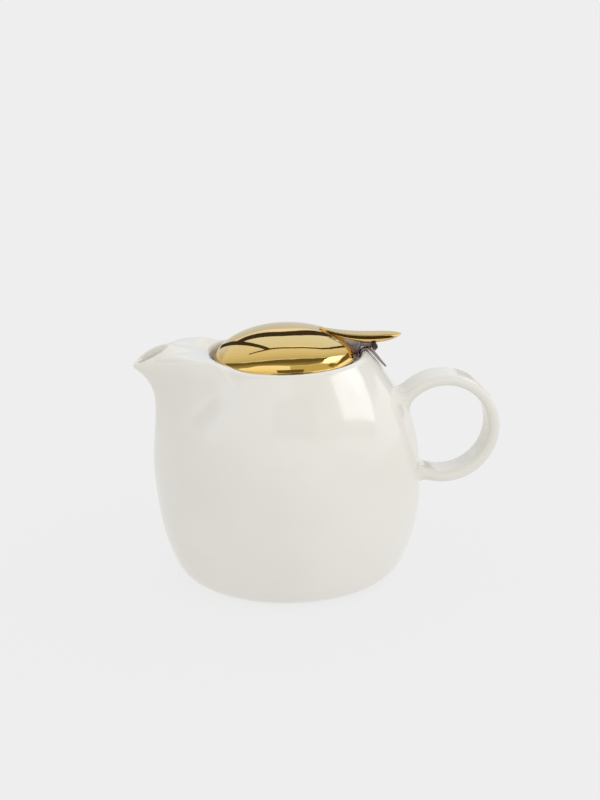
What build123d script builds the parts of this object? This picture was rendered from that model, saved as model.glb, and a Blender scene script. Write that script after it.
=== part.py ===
from build123d import *
import math
import os

# Ceramic teapot with a hinged metal lid and an infuser basket. Millimetres, +Z up.
# The origin is the centre of the foot on the table; the spout points to -X, the handle to +X.

# ---- pot ----
FOOT_R = 44.0
FOOT_RING_W = 5.0
FOOT_RECESS = 1.2
BELLY_R = 63.9
BELLY_Z = 48.0
WALL = 4.4
# (r, z) points of the outside and the inside of the wall, between the foot and the lip
OUTER_WALL = ((50.8, 3.0), (59.3, 18.0), (BELLY_R, BELLY_Z), (58.9, 80.0), (45.5, 102.3))
INNER_WALL = ((54.2, 18.5), (BELLY_R - WALL, BELLY_Z), (54.4, 79.0))
FLOOR_T = 5.5
FLOOR_FLAT_R = 34.0
LIP_R = 38.0
LIP_Z = 110.5
LIP_ROUND = 2.0
LEDGE_Z = 104.2
LEDGE_R = 31.5
LEDGE_T = 3.2
LEDGE_ROOT_R = 39.5
LEDGE_ROOT_DROP = 1.0

# ---- spout: top and bottom points of each section in the XZ plane, and its half width ----
SPOUT_MOUTH_TOP = (-54.8, 117.0)
SPOUT_MOUTH_BOTTOM = (-72.6, 107.7)
SPOUT_MOUTH_HALF_W = 8.4
SPOUT_SECTIONS = (
    ((-51.0, 115.3), (-66.8, 101.2), 13.6),
    ((-47.0, 113.8), (-63.0, 93.2), 17.6),
    ((-42.4, 112.0), (-62.0, 82.0), 21.0),
    ((-37.6, 105.6), (-61.6, 69.0), 23.0),
    ((-30.0, 95.0), (-58.0, 56.0), 24.0),
)
SPOUT_SHOULDERS = (0.24, 0.18, 0.18, 0.22, 0.26)
OVAL_SHOULDER = 0.5
# the same three values for each section of the oval channel through the spout
SPOUT_BORE = (
    ((-53.2, 121.6), (-68.6, 113.2), 6.4),
    ((-56.6, 115.2), (-69.6, 108.0), 6.0),
    ((-55.6, 109.8), (-63.6, 102.4), 5.2),
    ((-49.4, 101.0), (-58.4, 92.6), 5.6),
    ((-43.5, 91.5), (-56.0, 81.5), 6.0),
    ((-38.0, 82.0), (-54.0, 71.0), 6.4),
)

# ---- handle ----
RING_X = 75.8
RING_Z = 69.8
RING_INNER_R = 21.6
RING_OUTER_R = 27.2
RING_HALF_W = 8.8
RING_EDGE_R = 1.4

# ---- infuser ----
SHEET_T = 0.6
BASKET_R = 29.6
BASKET_BOTTOM_Z = 24.0
FLANGE_R = 35.6
FLANGE_T = 0.8
COLLAR_H = 5.0
HOLE_R = 1.1
HOLE_CUT_L = 4.0
HOLES_AROUND = 18
HOLE_ROWS = 7
HOLE_FIRST_Z = 34.0
HOLE_PITCH_Z = 9.0
FLOOR_RINGS = ((7.0, 6), (14.0, 12), (21.0, 18))

# ---- lid ----
LID_EDGE_Z = 109.4
LID_RISE = 13.6
LID_CAP_R = 33.9
# The cap's outline is z = edge + rise * (1 - (r / cap_r) ** fullness) ** steepness
LID_FULLNESS = 2.3
LID_STEEPNESS = 0.7
LID_CURVE_POINTS = 14
LID_SHELL_T = 0.8
LID_BEAD_R = 0.8
LID_BEAD_PATH_R = 33.4
LID_BEAD_Z = LID_EDGE_Z - 0.3
LINER_SKIRT_R = 28.0
LINER_REST_R = 31.4
LINER_BOTTOM_Z = 101.2
LINER_LIP_Z = LID_EDGE_Z - 1.0
LINER_LIP_RISE = 0.2
LINER_SLANT_INSET = 0.36

# ---- hinge ----
PIN_X = 42.2
PIN_Z = 112.4
PIN_R = 0.75
PIN_FIT = 0.05
PIN_HALF_L = 4.6
BALL_R = 1.5
BALL_Y = 5.3
BALL_BOX = 10.0
BARREL_R = 1.5
BARREL_HALF_W = 2.9
LUG_HALF_W = 4.6
LUG_FRONT_X = 26.0
LUG_WIDE_END_X = 38.6
LUG_TOP_Z = 117.0
LUG_UNDER_Z = 112.2
LUG_CUT_Z = PIN_Z + BARREL_R + 2.0
# (x, z) points of the lug's underside, from its wide part down to the dome
LUG_BELLY = ((35.0, LUG_UNDER_Z), (34.5, 110.0), (LUG_FRONT_X, 112.0))
EAR_GAP = 0.15
EAR_T = 0.9
EAR_R = 1.5
# where the ear's foot starts and ends along the clip's leg, and how deep it stands in it
EAR_FOOT = (0.6, 5.4)
EAR_SINK = 0.2

# ---- rim clip ----
CLIP_T = 0.8
CLIP_HALF_W = 4.9
CLIP_GAP = 0.5
CLIP_FOOT_Z = 105.3
CLIP_TIP = (48.5, 100.5)
CLIP_TONGUE_L = 7.0
CLIP_TIP_HALF_W = 0.5
TONGUE_CUT_H = 6.0

# ---- thumb lever: station x, top rim z, underside z, half width ----
# The top is dished by a share of the depth, up to a limit, and the rim and chine are shares of it too.
LEVER_DISH_SHARE = 0.15
LEVER_DISH_LIMIT = 0.25
LEVER_RIM_SHARE = 0.18
LEVER_CHINE = (0.66, 0.72)
LEVER_STATIONS = (
    (15.6, 121.9, 121.0, 0.5),
    (19.0, 121.1, 119.4, 2.2),
    (23.5, 119.9, 117.4, 3.6),
    (29.0, 118.8, 115.4, 4.5),
    (36.0, 117.9, 114.0, 4.7),
    (43.0, 117.5, 113.7, 4.6),
    (49.0, 117.3, 114.2, 4.1),
    (53.0, 117.0, 115.3, 2.9),
    (55.6, 116.8, 116.3, 0.8),
)


def polar(radius, degrees):
    angle = math.radians(degrees)
    return radius * math.cos(angle), radius * math.sin(angle)


def outer_wall():
    """Outside of the pot in the (r, z) plane, from the foot's edge to the lip's outer tangent."""
    lip_x, lip_z = polar(LIP_ROUND, 45)
    return Spline(
        (FOOT_R, 0),
        *OUTER_WALL,
        (LIP_R + lip_x, LIP_Z - LIP_ROUND + lip_z),
        tangents=((1, 0.3), (-0.7, 0.7)),
        tangent_scalars=(1, 1),
    )


def lip_arc():
    centre = (LIP_R, LIP_Z - LIP_ROUND)
    return CenterArc(centre, LIP_ROUND, 45, 135)


def pot_solid_form():
    """The pot's outer form as a solid body of revolution, without its hollow."""
    with BuildPart() as form:
        with BuildSketch(Plane.XZ):
            with BuildLine():
                wall = outer_wall()
                lip = lip_arc()
                Polyline(lip @ 1, (LIP_R - LIP_ROUND, LEDGE_Z), (0, LEDGE_Z), (0, 0), wall @ 0)
            make_face()
        revolve(axis=Axis.Z)
    return form.part


def pot_hollow():
    """The room inside the pot, up to the underside of the seat ledge and out of the mouth."""
    under_ledge = LEDGE_Z - LEDGE_T
    with BuildPart() as room:
        with BuildSketch(Plane.XZ):
            with BuildLine():
                inside = Spline(
                    (FLOOR_FLAT_R, FLOOR_T),
                    *INNER_WALL,
                    (LEDGE_ROOT_R, under_ledge - LEDGE_ROOT_DROP),
                    tangents=((1, 0), (-1, 0.5)),
                    tangent_scalars=(1, 1),
                )
                Polyline(
                    inside @ 1,
                    (LEDGE_R, under_ledge),
                    (LEDGE_R, LEDGE_Z + 1),
                    (0, LEDGE_Z + 1),
                    (0, FLOOR_T),
                    inside @ 0,
                )
            make_face()
        revolve(axis=Axis.Z)
    return room.part


def spout_section(top, bottom, half_w, shoulder):
    """Closed outline between a top and a bottom point of the XZ plane.

    shoulder is where along the height the outline is widest: 0.5 makes an oval, less makes
    a wide deck over a narrow keel. The shape's pairs are shares of the height and of the half
    width, for one side.
    """
    top_v = Vector(top[0], 0, top[1])
    down = Vector(bottom[0], 0, bottom[1]) - top_v
    side = Vector(0, half_w, 0)
    shape = (
        (0.0, 0.0),
        (0.12 * shoulder, 0.52),
        (0.42 * shoulder, 0.86),
        (shoulder, 1.0),
        (0.45 + 0.55 * shoulder, 0.80),
        (0.80 + 0.2 * shoulder, 0.42),
        (1.0, 0.0),
    )
    near = [top_v + down * s + side * w for s, w in shape]
    far = [top_v + down * s - side * w for s, w in shape[-2:0:-1]]
    return make_face(Spline(near + far, periodic=True))


def oval_section(top, bottom, half_w):
    return spout_section(top, bottom, half_w, OVAL_SHOULDER)


def spout_form():
    faces = [oval_section(SPOUT_MOUTH_TOP, SPOUT_MOUTH_BOTTOM, SPOUT_MOUTH_HALF_W)]
    for (top, bottom, half_w), shoulder in zip(SPOUT_SECTIONS, SPOUT_SHOULDERS):
        faces.append(spout_section(top, bottom, half_w, shoulder))
    return loft(faces)


def spout_bore():
    return loft([oval_section(*section) for section in SPOUT_BORE])


def foot_recess():
    return Pos(0, 0, FOOT_RECESS / 2) * Cylinder(FOOT_R - FOOT_RING_W, FOOT_RECESS)


def floor_disc():
    """The flat middle of the pot's floor, which meets the wall's node face to face."""
    thickness = FLOOR_T - FOOT_RECESS
    return Pos(0, 0, FOOT_RECESS + thickness / 2) * Cylinder(FLOOR_FLAT_R, thickness)


def make_pot_body(form):
    """Wall, lip, seat ledge and foot ring of the ceramic casting.

    The real pot is one casting. The middle of its floor, its spout and its handle are solids of
    their own that meet this one face to face, so that each stays simple and its hollows open.
    """
    walls = form - pot_hollow() - foot_recess() - floor_disc()
    return walls - spout_bore()


def make_spout(form):
    """What the spout's loft adds outside the round pot, bored through."""
    parts = (spout_form() - form - spout_bore()).solids().sort_by(SortBy.VOLUME)
    return parts[-1]


def make_handle(form):
    """Flat strap with round edges, bent to a ring about an axis along Y, cut where it meets the pot."""
    mid_r = (RING_INNER_R + RING_OUTER_R) / 2
    strap_t = RING_OUTER_R - RING_INNER_R
    strap = RectangleRounded(strap_t, 2 * RING_HALF_W, RING_EDGE_R)
    section = Plane.XY.offset(RING_Z) * Pos(RING_X + mid_r, 0) * strap
    ring = revolve(section, Axis((RING_X, 0, RING_Z), (0, 1, 0)))
    parts = (ring - form).solids().sort_by(SortBy.VOLUME)
    return parts[-1]


def tube(outer_r, inner_r, low, high):
    height = high - low
    body = Cylinder(outer_r, height) - Cylinder(inner_r, height)
    return Pos(0, 0, (low + high) / 2) * body


def make_infuser_wall():
    wall = tube(BASKET_R, BASKET_R - SHEET_T, BASKET_BOTTOM_Z, LEDGE_Z + FLANGE_T)
    holes = []
    for row in range(HOLE_ROWS):
        turn = 0.5 * (row % 2)
        for index in range(HOLES_AROUND):
            angle = 360.0 * (index + turn) / HOLES_AROUND
            place = Rot(0, 0, angle) * Pos(BASKET_R, 0, HOLE_FIRST_Z + row * HOLE_PITCH_Z)
            holes.append(place * Rot(0, 90, 0) * Cylinder(HOLE_R, HOLE_CUT_L))
    return wall - holes


def make_infuser_floor():
    disc = Pos(0, 0, BASKET_BOTTOM_Z + SHEET_T / 2) * Cylinder(BASKET_R - SHEET_T, SHEET_T)
    punch = Cylinder(HOLE_R, HOLE_CUT_L)
    holes = [Pos(0, 0, BASKET_BOTTOM_Z) * punch]
    for ring_r, count in FLOOR_RINGS:
        for index in range(count):
            x, y = polar(ring_r, 360.0 * index / count)
            holes.append(Pos(x, y, BASKET_BOTTOM_Z) * punch)
    return disc - holes


def make_infuser_rim():
    flange = tube(FLANGE_R, BASKET_R, LEDGE_Z, LEDGE_Z + FLANGE_T)
    collar = tube(BASKET_R + SHEET_T, BASKET_R, LEDGE_Z - COLLAR_H, LEDGE_Z)
    return flange + collar


def cap_z(r, inset):
    """Height of the cap's outer surface at radius r, or of the surface that lies inset inside it."""
    share = r / (LID_CAP_R - inset)
    return LID_EDGE_Z + (LID_RISE - inset) * (1 - share ** LID_FULLNESS) ** LID_STEEPNESS


def cap_outline(inset):
    """The cap's outline in the (r, z) plane, from the apex to its upright edge."""
    points = []
    for index in range(LID_CURVE_POINTS):
        r = (LID_CAP_R - inset) * math.sin(math.pi / 2 * index / LID_CURVE_POINTS)
        points.append((r, cap_z(r, inset)))
    points.append((LID_CAP_R - inset, LID_EDGE_Z))
    return Spline(points, tangents=((1, 0), (0, -1)))


def make_lid_dome():
    """Full, round cap shell with a rolled bead at its edge."""
    with BuildPart() as dome:
        with BuildSketch(Plane.XZ):
            with BuildLine():
                top = cap_outline(0)
                under = cap_outline(LID_SHELL_T)
                Line(top @ 0, under @ 0)
                Line(top @ 1, under @ 1)
            make_face()
        revolve(axis=Axis.Z)
        with BuildSketch(Plane.XZ):
            with Locations((LID_BEAD_PATH_R, LID_BEAD_Z)):
                Circle(LID_BEAD_R)
        revolve(axis=Axis.Z)
    return dome.part


def make_lid_liner(dome):
    """Pan under the dome: a rim that meets the bead, a seat ring, a skirt and a flat bottom."""
    seat_z = LEDGE_Z + FLANGE_T
    with BuildPart() as liner:
        with BuildSketch(Plane.XZ):
            with BuildLine():
                Polyline(
                    (0, LINER_BOTTOM_Z),
                    (LINER_SKIRT_R, LINER_BOTTOM_Z),
                    (LINER_SKIRT_R, seat_z),
                    (LINER_REST_R, seat_z),
                    (LID_BEAD_PATH_R, LINER_LIP_Z),
                    (LID_BEAD_PATH_R - SHEET_T, LINER_LIP_Z + LINER_LIP_RISE),
                    (LINER_REST_R - LINER_SLANT_INSET, seat_z + SHEET_T),
                    (LINER_SKIRT_R - SHEET_T, seat_z + SHEET_T),
                    (LINER_SKIRT_R - SHEET_T, LINER_BOTTOM_Z + SHEET_T),
                    (0, LINER_BOTTOM_Z + SHEET_T),
                    (0, LINER_BOTTOM_Z),
                )
            make_face()
        revolve(axis=Axis.Z)
    return liner.part - dome


def lever_section(x, rim_z, under_z, half_w):
    """Boat-shaped cross-section: nearly flat top between two rims, round belly."""
    depth = rim_z - under_z
    dish = min(LEVER_DISH_LIMIT, depth * LEVER_DISH_SHARE)
    rim_t = depth * LEVER_RIM_SHARE
    chine_y = half_w * LEVER_CHINE[0]
    chine_z = -depth * LEVER_CHINE[1]
    points = [
        (half_w, 0.0),
        (half_w * 0.5, -dish),
        (0.0, -dish * 1.3),
        (-half_w * 0.5, -dish),
        (-half_w, 0.0),
        (-half_w * 0.97, -rim_t),
        (-chine_y, chine_z),
        (0.0, -depth),
        (chine_y, chine_z),
        (half_w * 0.97, -rim_t),
    ]
    outline = [Vector(x, y, rim_z + z) for y, z in points]
    return make_face(Spline(outline, periodic=True))


def make_thumb_lever(dome_core):
    body = loft([lever_section(*station) for station in LEVER_STATIONS])
    return body - dome_core


def lid_core():
    """Everything under the dome's outer surface, as one solid."""
    with BuildPart() as core:
        with BuildSketch(Plane.XZ):
            with BuildLine():
                top = cap_outline(0)
                Polyline(top @ 1, (LID_CAP_R, LEDGE_Z), (0, LEDGE_Z), top @ 0)
            make_face()
        revolve(axis=Axis.Z)
    return core.part


def extrude_xz(points, half_w):
    outline = make_face(Polyline([(x, 0, z) for x, z in points], close=True))
    return extrude(outline, half_w, dir=(0, 1, 0), both=True)


def pin_axis_cylinder(radius, half_l):
    return Pos(PIN_X, 0, PIN_Z) * Rot(90, 0, 0) * Cylinder(radius, 2 * half_l)


def make_hinge_lug(dome_core, lever):
    """Web from the back of the dome to the knuckle, welded under the lever."""
    wide_web = extrude_xz(
        (
            (LUG_FRONT_X, LUG_TOP_Z),
            (LUG_WIDE_END_X, LUG_TOP_Z),
            (LUG_WIDE_END_X, LUG_UNDER_Z),
            *LUG_BELLY,
        ),
        LUG_HALF_W,
    )
    arm = extrude_xz(
        (
            (LUG_WIDE_END_X - 1, LUG_TOP_Z),
            (PIN_X, LUG_TOP_Z),
            (PIN_X, PIN_Z - BARREL_R * 0.5),
            (PIN_X - BARREL_R, LUG_UNDER_Z),
            (LUG_WIDE_END_X - 1, LUG_UNDER_Z),
        ),
        BARREL_HALF_W,
    )
    barrel = pin_axis_cylinder(BARREL_R, BARREL_HALF_W)
    bore = pin_axis_cylinder(PIN_R + PIN_FIT, BARREL_HALF_W + 1)
    above = Pos(0, 0, LUG_CUT_Z) * Box(200, 40, 50, align=(Align.CENTER, Align.CENTER, Align.MIN))
    lug = wide_web + arm + barrel - bore - dome_core - lever - above
    return lug.solids().sort_by(SortBy.VOLUME)[-1]


def clip_leg_frame():
    """Start point, unit direction and outward normal of the clip's outer leg."""
    centre = Vector(LIP_R, LIP_Z - LIP_ROUND)
    tip = Vector(*CLIP_TIP)
    arm = LIP_ROUND + CLIP_GAP + CLIP_T / 2
    reach = (tip - centre).length
    to_tip = math.atan2(tip.Y - centre.Y, tip.X - centre.X)
    normal_angle = to_tip + math.acos(arm / reach)
    normal = Vector(math.cos(normal_angle), math.sin(normal_angle))
    start = centre + normal * arm
    direction = (tip - start).normalized()
    return start, direction, normal, normal_angle


def make_rim_clip():
    """Sprung strip: inner foot, arch over the lip, outer leg narrowing to a tongue."""
    start, direction, normal, normal_angle = clip_leg_frame()
    centre = (LIP_R, LIP_Z - LIP_ROUND)
    inner_r = LIP_ROUND + CLIP_GAP
    outer_r = inner_r + CLIP_T
    half_t = CLIP_T / 2
    tip = Vector(*CLIP_TIP)
    sweep = 180 - math.degrees(normal_angle)
    with BuildPart() as clip:
        with BuildSketch(Plane.XZ):
            with BuildLine():
                outer = CenterArc(centre, outer_r, math.degrees(normal_angle), sweep)
                inner = CenterArc(centre, inner_r, math.degrees(normal_angle), sweep)
                Polyline(outer @ 1, (LIP_R - outer_r, CLIP_FOOT_Z), (LIP_R - inner_r, CLIP_FOOT_Z), inner @ 1)
                Polyline(outer @ 0, tip + normal * half_t, tip - normal * half_t, inner @ 0)
            make_face()
        extrude(amount=CLIP_HALF_W, both=True)
    return clip.part - [tongue_cut(tip, direction, normal, sign) for sign in (-1, 1)]


def tongue_cut(tip, direction, normal, sign):
    """What is cut off one side of the leg to narrow its end to a tongue."""
    along = Vector(direction.X, 0, direction.Y)
    out = Vector(normal.X, 0, normal.Y)
    corner = Vector(tip.X, 0, tip.Y) - along * CLIP_TONGUE_L - out * TONGUE_CUT_H / 2
    end = corner + along * (CLIP_TONGUE_L + 1)
    wide = Vector(0, sign * (CLIP_HALF_W + 1), 0)
    full = Vector(0, sign * CLIP_HALF_W, 0)
    thin = Vector(0, sign * CLIP_TIP_HALF_W, 0)
    outline = [corner + full, end + thin, end + wide, corner + wide]
    return extrude(make_face(Polyline(outline, close=True)), TONGUE_CUT_H, dir=out)


def make_clip_ears(clip):
    """Two plates standing on the clip's leg, one each side of the lug's knuckle."""
    start, direction, normal, _ = clip_leg_frame()
    foot_a = start + direction * EAR_FOOT[0] - normal * EAR_SINK
    foot_b = start + direction * EAR_FOOT[1] - normal * EAR_SINK
    inner_y = BARREL_HALF_W + EAR_GAP
    mid_y = inner_y + EAR_T / 2
    ears = []
    for sign in (-1, 1):
        plate = extrude_xz(
            (
                (foot_a.X, foot_a.Y),
                (PIN_X - EAR_R * 0.93, PIN_Z - EAR_R * 0.37),
                (PIN_X, PIN_Z),
                (PIN_X + EAR_R * 0.98, PIN_Z - EAR_R * 0.2),
                (foot_b.X, foot_b.Y),
            ),
            EAR_T / 2,
        )
        disc = pin_axis_cylinder(EAR_R, EAR_T / 2)
        bore = pin_axis_cylinder(PIN_R, EAR_T)
        ear = plate + disc - bore
        ears.append(Pos(0, sign * mid_y, 0) * ear - clip)
    return Compound(children=[ear.solids()[0] for ear in ears])


def make_hinge_pin():
    return pin_axis_cylinder(PIN_R, PIN_HALF_L)


def make_pin_balls(pin):
    balls = []
    inner_face = BARREL_HALF_W + EAR_GAP + EAR_T
    for sign in (-1, 1):
        ball = Pos(PIN_X, sign * BALL_Y, PIN_Z) * Sphere(BALL_R)
        outside = Pos(PIN_X, sign * (inner_face + BALL_BOX / 2), PIN_Z) * Box(BALL_BOX, BALL_BOX, BALL_BOX)
        balls.append((ball & outside) - pin)
    return Compound(children=[ball.solids()[0] for ball in balls])


def build_all():
    os.makedirs("parts", exist_ok=True)
    form = pot_solid_form()
    dome = make_lid_dome()
    core = lid_core()
    lever = make_thumb_lever(core)
    clip = make_rim_clip()
    pin = make_hinge_pin()
    parts = {
        "pot_body": make_pot_body(form),
        "pot_floor": floor_disc(),
        "spout": make_spout(form),
        "handle": make_handle(form),
        "infuser_wall": make_infuser_wall(),
        "infuser_floor": make_infuser_floor(),
        "infuser_rim": make_infuser_rim(),
        "lid_dome": dome,
        "lid_liner": make_lid_liner(dome),
        "thumb_lever": lever,
        "hinge_lug": make_hinge_lug(core, lever),
        "rim_clip": clip,
        "clip_ears": make_clip_ears(clip),
        "hinge_pin": pin,
        "pin_balls": make_pin_balls(pin),
    }
    for name, shape in parts.items():
        export_step(shape, "parts/" + name + ".step")


build_all()
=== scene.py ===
import math

import bpy
import numpy as np
from mathutils import Matrix, Vector


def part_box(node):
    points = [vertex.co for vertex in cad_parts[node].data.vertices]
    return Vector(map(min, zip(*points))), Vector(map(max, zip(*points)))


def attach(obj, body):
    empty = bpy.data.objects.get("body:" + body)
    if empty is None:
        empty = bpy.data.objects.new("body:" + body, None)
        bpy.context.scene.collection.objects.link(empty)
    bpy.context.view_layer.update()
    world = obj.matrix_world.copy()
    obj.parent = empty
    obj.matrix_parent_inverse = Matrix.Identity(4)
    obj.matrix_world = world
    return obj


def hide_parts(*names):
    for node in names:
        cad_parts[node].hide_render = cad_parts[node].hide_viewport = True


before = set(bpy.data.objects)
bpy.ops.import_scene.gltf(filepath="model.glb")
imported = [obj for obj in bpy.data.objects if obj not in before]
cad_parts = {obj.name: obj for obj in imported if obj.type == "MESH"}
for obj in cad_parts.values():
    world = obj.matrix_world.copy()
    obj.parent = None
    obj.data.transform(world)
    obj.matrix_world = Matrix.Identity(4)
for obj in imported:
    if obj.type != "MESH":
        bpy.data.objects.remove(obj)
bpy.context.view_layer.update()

# Teapot visuals around the CAD frame. Shapes are written in millimetres, +Z up, the spout to -X and
# the handle to +X, and MM turns them into the frame's metres.
MM = 0.001


def node_box(name):
    """Lowest and highest corner of a CAD node, in millimetres."""
    low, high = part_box(name)
    return np.array(low) / MM, np.array(high) / MM


POT_HIGH = node_box("pot_body")[1]
DOME_HIGH = node_box("lid_dome")[1]
RIM_LOW = node_box("infuser_rim")[0]
PIN_LOW, PIN_HIGH = node_box("hinge_pin")
HANDLE_LOW, HANDLE_HIGH = node_box("handle")
WALL_LOW, WALL_HIGH = node_box("infuser_wall")


# -------- mesh helpers

# A ring narrower than this is a single pole point
POLE_R = 1e-6


def smooth(t):
    """Eased step: 0 below t = 0, 1 above t = 1."""
    t = min(1.0, max(0.0, t))
    return t * t * (3 - 2 * t)


def through(xs, ys, at):
    """Smooth curve through the points (xs, ys), read at the values at."""
    xs = np.asarray(xs, float)
    ys = np.asarray(ys, float)
    slopes = np.gradient(ys, xs)
    at = np.clip(at, xs[0], xs[-1])
    cell = np.clip(np.searchsorted(xs, at) - 1, 0, len(xs) - 2)
    width = xs[cell + 1] - xs[cell]
    t = (at - xs[cell]) / width
    return (
        (1 + 2 * t) * (1 - t) ** 2 * ys[cell]
        + t * (1 - t) ** 2 * width * slopes[cell]
        + t * t * (3 - 2 * t) * ys[cell + 1]
        + t * t * (t - 1) * width * slopes[cell + 1]
    )


def spread_along(points, count, curve):
    """count points spaced evenly along 2D points, joined by curve(at, along, values)."""
    points = np.asarray(points, float)
    steps = np.hypot(*np.diff(points, axis=0).T)
    along = np.concatenate(([0], np.cumsum(steps)))
    at = np.linspace(0, along[-1], count)
    return np.stack([curve(at, along, points[:, 0]), curve(at, along, points[:, 1])], axis=1)


def dense_curve(points, count):
    return spread_along(points, count, lambda at, along, values: through(along, values, at))


def evenly(corners, count):
    return spread_along(corners, count, np.interp)


def circle(count):
    """Angles round a full turn, in radians."""
    return [2 * math.pi * i / count for i in range(count)]


class Builder:
    """Collects vertices and faces, in millimetres, for one piece. A ring is a list of vertex indices."""

    def __init__(self):
        self.points = []
        self.faces = []

    def add(self, points):
        start = len(self.points)
        self.points.extend([tuple(map(float, p)) for p in points])
        return list(range(start, len(self.points)))

    def bridge(self, rings, flip=False):
        """Faces from each closed ring to the next; flip turns them over."""
        for ring_a, ring_b in zip(rings, rings[1:]):
            if flip:
                ring_a, ring_b = ring_b, ring_a
            for i in range(len(ring_a)):
                j = (i + 1) % len(ring_a)
                self.faces.append((ring_a[i], ring_a[j], ring_b[j], ring_b[i]))

    def middle(self, ring):
        return np.mean([self.points[i] for i in ring], axis=0)

    def cap(self, ring, centre, flip=False):
        middle = self.add([centre])[0]
        for i in range(len(ring)):
            face = (ring[i], ring[(i + 1) % len(ring)], middle)
            self.faces.append(face[::-1] if flip else face)

    def turn(self, profile, count, place=lambda x, y, along: (x, y, along), flip=False):
        """Turned surface from (r, along) pairs, with r 0 as a pole; place puts a point of it in the model."""
        rings = []
        for r, along in profile:
            if r < POLE_R:
                rings.append(self.add([place(0.0, 0.0, along)]) * count)
            else:
                ring = [place(r * math.cos(a), r * math.sin(a), along) for a in circle(count)]
                rings.append(self.add(ring))
        for low, high in zip(rings, rings[1:]):
            for i in range(count):
                j = (i + 1) % count
                face = tuple(dict.fromkeys((low[i], low[j], high[j], high[i])))
                self.faces.append(face[::-1] if flip else face)

    def piece(self, name, body, material, nodes, levels=0):
        """Makes the object, in place of the CAD nodes, with that many levels of subdivision."""
        mesh = bpy.data.meshes.new(name)
        mesh.from_pydata([tuple(c * MM for c in p) for p in self.points], [], self.faces)
        mesh.validate()
        mesh.polygons.foreach_set("use_smooth", [True] * len(mesh.polygons))
        mesh.update()
        mesh.materials.append(material)
        obj = bpy.data.objects.new(name, mesh)
        bpy.context.scene.collection.objects.link(obj)
        if levels:
            subdivide = obj.modifiers.new("smooth", "SUBSURF")
            subdivide.levels = levels
            subdivide.render_levels = levels
        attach(obj, body)
        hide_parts(*nodes)
        return obj


# -------- materials


def axes(nodes, links, space):
    """The X, Y and Z outputs of a texture space."""
    where = nodes.new("ShaderNodeTexCoord")
    split = nodes.new("ShaderNodeSeparateXYZ")
    links.new(where.outputs[space], split.inputs["Vector"])
    return split.outputs


def map_range(nodes, links, source, low, high, start, end):
    """Maps start to end of the source onto low to high."""
    node = nodes.new("ShaderNodeMapRange")
    for socket, value in (("From Min", start), ("From Max", end), ("To Min", low), ("To Max", high)):
        node.inputs[socket].default_value = value
    links.new(source, node.inputs["Value"])
    return node.outputs["Result"]


class Look:
    """A material with one Principled shader. The methods that add a node return its output."""

    def __init__(self, name, metallic=0.0):
        self.material = bpy.data.materials.new(name)
        self.material.use_nodes = True
        self.nodes = self.material.node_tree.nodes
        self.links = self.material.node_tree.links
        self.nodes.clear()
        output = self.nodes.new("ShaderNodeOutputMaterial")
        self.shader = self.nodes.new("ShaderNodeBsdfPrincipled")
        self.shader.inputs["Metallic"].default_value = metallic
        self.links.new(self.shader.outputs["BSDF"], output.inputs["Surface"])

    def feed(self, socket, source):
        self.links.new(source, self.shader.inputs[socket])

    def place(self, axis):
        """One of the piece's own coordinates, in metres."""
        return axes(self.nodes, self.links, "Object")[axis]

    def noise(self, scale, detail, stretch=(1, 1, 1)):
        """Noise in the piece's own coordinates; scale is in features per metre."""
        where = self.nodes.new("ShaderNodeTexCoord")
        mapping = self.nodes.new("ShaderNodeMapping")
        mapping.inputs["Scale"].default_value = stretch
        noise = self.nodes.new("ShaderNodeTexNoise")
        noise.inputs["Scale"].default_value = scale
        noise.inputs["Detail"].default_value = detail
        self.links.new(where.outputs["Object"], mapping.inputs["Vector"])
        self.links.new(mapping.outputs["Vector"], noise.inputs["Vector"])
        return noise.outputs["Fac"]

    def ramp(self, source, *stops):
        """Colours along a source; each stop is its position and its colour."""
        ramp = self.nodes.new("ShaderNodeValToRGB")
        elements = ramp.color_ramp.elements
        for _ in stops[2:]:
            elements.new(0.5)
        for element, (position, colour) in zip(elements, stops):
            element.position = position
            element.color = (*colour, 1)
        self.links.new(source, ramp.inputs["Fac"])
        return ramp.outputs["Color"]

    def drift(self, noise, dark, light):
        """Slow change between two near colours, as the base colour."""
        self.feed("Base Color", self.ramp(noise, (0.35, dark), (0.65, light)))

    def spread(self, source, low, high, start=0.3, end=0.7):
        return map_range(self.nodes, self.links, source, low, high, start, end)

    def rough(self, noise, low, high):
        self.feed("Roughness", self.spread(noise, low, high))

    def mix(self, first, second, factor, blend="MIX"):
        """Mix of two colours; each argument is a plain value or an output."""
        mix = self.nodes.new("ShaderNodeMix")
        mix.data_type = "RGBA"
        mix.blend_type = blend
        for socket, value in (("A", first), ("B", second), ("Factor", factor)):
            self.plug(mix.inputs[socket], value)
        return mix.outputs["Result"]

    def compute(self, kind, first, second=0.0):
        node = self.nodes.new("ShaderNodeMath")
        node.operation = kind
        self.plug(node.inputs[0], first)
        self.plug(node.inputs[1], second)
        return node.outputs["Value"]

    def plug(self, socket, value):
        if isinstance(value, bpy.types.NodeSocket):
            self.links.new(value, socket)
        else:
            socket.default_value = value

    def bump(self, source, distance, strength=1.0):
        bump = self.nodes.new("ShaderNodeBump")
        bump.inputs["Distance"].default_value = distance
        bump.inputs["Strength"].default_value = strength
        self.links.new(source, bump.inputs["Height"])
        self.feed("Normal", bump.outputs["Normal"])


def glaze_material():
    """White glaze with slow colour drift and a glossy coat, with a painted contact shadow: a dark band at the
    very bottom of the foot.
    """
    look = Look("white_glaze")
    glazed = look.ramp(look.noise(22, 2), (0.35, (0.775, 0.755, 0.69)), (0.65, (0.80, 0.78, 0.725)))
    # Painted shadow: the lowest millimetre of the pot is mixed to a dark brown-grey, standing in for the
    # contact shadow on the floor.
    above_contact_shadow = look.spread(look.place("Z"), 0.0, 1.0, 0.0004, 0.0013)
    look.feed("Base Color", look.mix((0.30, 0.275, 0.235, 1), glazed, above_contact_shadow))
    look.rough(look.noise(90, 3), 0.09, 0.14)
    look.shader.inputs["IOR"].default_value = 1.52
    look.bump(look.noise(60, 1), 0.00012, 0.6)
    return look.material


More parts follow.
